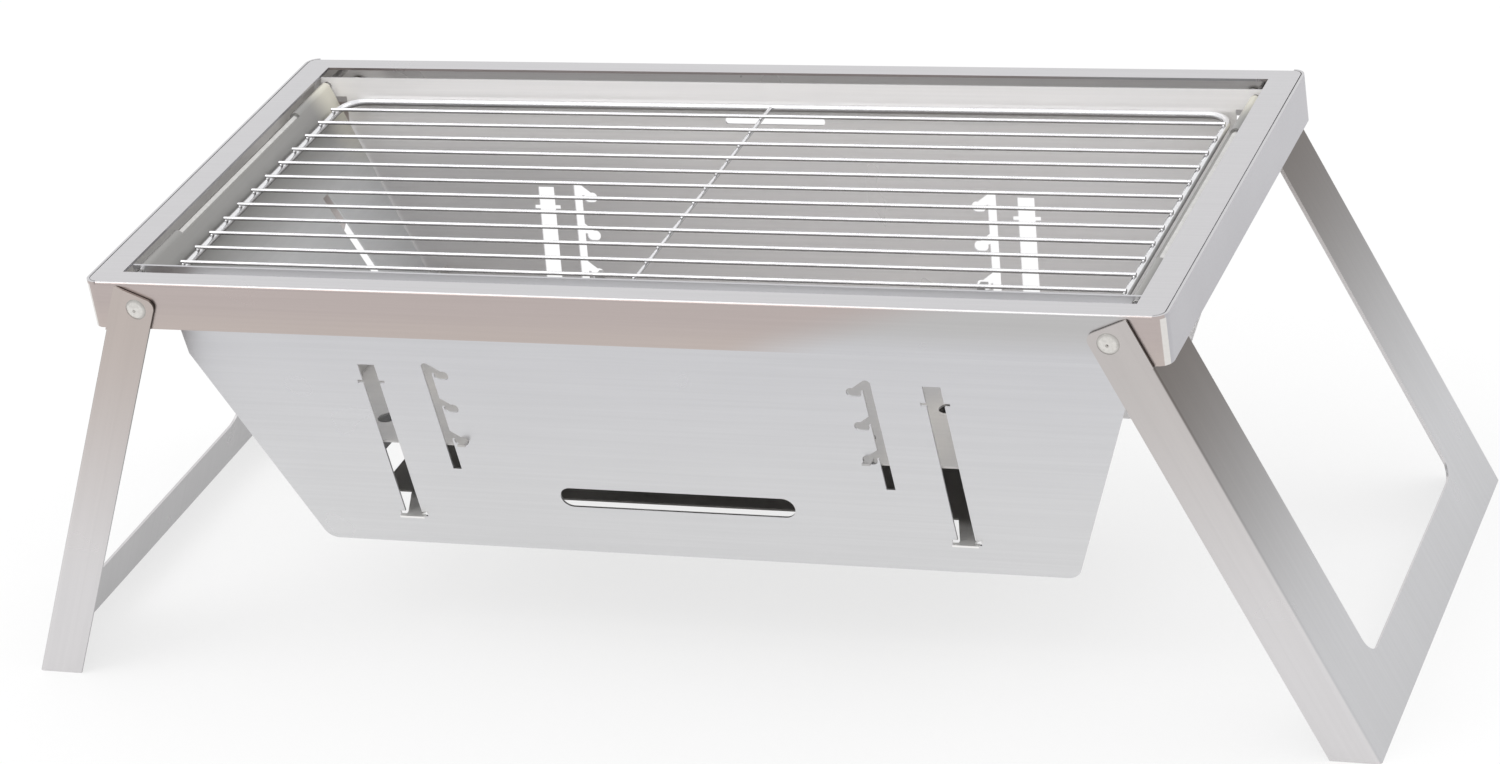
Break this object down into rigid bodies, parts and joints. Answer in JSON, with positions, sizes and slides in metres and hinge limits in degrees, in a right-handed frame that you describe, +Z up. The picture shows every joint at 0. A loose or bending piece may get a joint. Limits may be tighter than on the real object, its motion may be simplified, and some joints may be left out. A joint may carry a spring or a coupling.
{
  "type": "folding camp grill",
  "caption": "Folding stainless camp grill with swing-out U legs, a slotted firebox, a lift-out charcoal tray, an ash plate and a wire cooking grate.",
  "frame": {"origin": "on the ground below the middle of the top frame", "axes": "+X along the top frame, +Y towards the wall with the finger slot, +Z up"},
  "size_m": [0.5546, 0.2124, 0.1785],
  "materials": {
    "sheet": "satin stainless sheet",
    "wire": "bright stainless wire",
    "rivet": "polished rivet"
  },
  "bodies": {
    "frame": {"top_frame": "sheet", "right_end_rod": "wire", "left_end_rod": "wire"},
    "left_leg": {"left_leg": "sheet", "left_leg_rivets": "rivet"},
    "right_leg": {"right_leg": "sheet", "right_leg_rivets": "rivet"},
    "left_end": {"left_end_panel": "sheet"},
    "right_end": {"right_end_panel": "sheet"},
    "front_wall": {"front_wall": "sheet"},
    "back_wall": {"back_wall": "sheet"},
    "tray": {"charcoal_tray": "sheet"},
    "ash_plate": {"ash_plate": "sheet"},
    "grate": {"grate_frame_wire": "wire", "grate_bars": "wire", "grate_tie_wire": "wire"}
  },
  "joints": [
    {"name": "left_leg_fold", "type": "hinge", "parent": "frame", "child": "left_leg", "pos_m": [-0.1934, 0, 0.1679], "axis": [0, -1, 0], "range_deg": [0, 113.3]},
    {"name": "right_leg_fold", "type": "hinge", "parent": "frame", "child": "right_leg", "pos_m": [0.1934, 0, 0.1679], "axis": [0, 1, 0], "range_deg": [0, 113.3]},
    {"name": "left_end_fold", "type": "hinge", "parent": "frame", "child": "left_end", "pos_m": [-0.1992, 0, 0.174], "axis": [0, -1, 0], "range_deg": [0, 66]},
    {"name": "right_end_fold", "type": "hinge", "parent": "frame", "child": "right_end", "pos_m": [0.1992, 0, 0.174], "axis": [0, 1, 0], "range_deg": [0, 66]},
    {"name": "front_wall_lift", "type": "slide", "parent": "frame", "child": "front_wall", "axis": [0, -0.185, 0.9827], "range_m": [0, 0.25439]},
    {"name": "back_wall_lift", "type": "slide", "parent": "frame", "child": "back_wall", "axis": [0, 0.185, 0.9827], "range_m": [0, 0.25439]},
    {"name": "tray_lift", "type": "slide", "parent": "frame", "child": "tray", "axis": [0, 0, 1], "range_m": [0, 0.25]},
    {"name": "ash_plate_lift", "type": "slide", "parent": "frame", "child": "ash_plate", "axis": [0, 0, 1], "range_m": [0, 0.25]},
    {"name": "grate_lift", "type": "slide", "parent": "frame", "child": "grate", "axis": [0, 0, 1], "range_m": [0, 0.25]}
  ],
  "couplings": [
    {"joint": "right_leg_fold", "follows": "left_leg_fold", "ratio": 1},
    {"joint": "left_end_fold", "follows": "left_leg_fold", "ratio": 0.58251},
    {"joint": "right_end_fold", "follows": "left_leg_fold", "ratio": 0.58251},
    {"joint": "front_wall_lift", "follows": "left_leg_fold", "m_per_rad": 0.12864},
    {"joint": "back_wall_lift", "follows": "left_leg_fold", "m_per_rad": 0.12864},
    {"joint": "tray_lift", "follows": "left_leg_fold", "m_per_rad": 0.12642},
    {"joint": "ash_plate_lift", "follows": "left_leg_fold", "m_per_rad": 0.12642},
    {"joint": "grate_lift", "follows": "left_leg_fold", "m_per_rad": 0.12642}
  ]
}
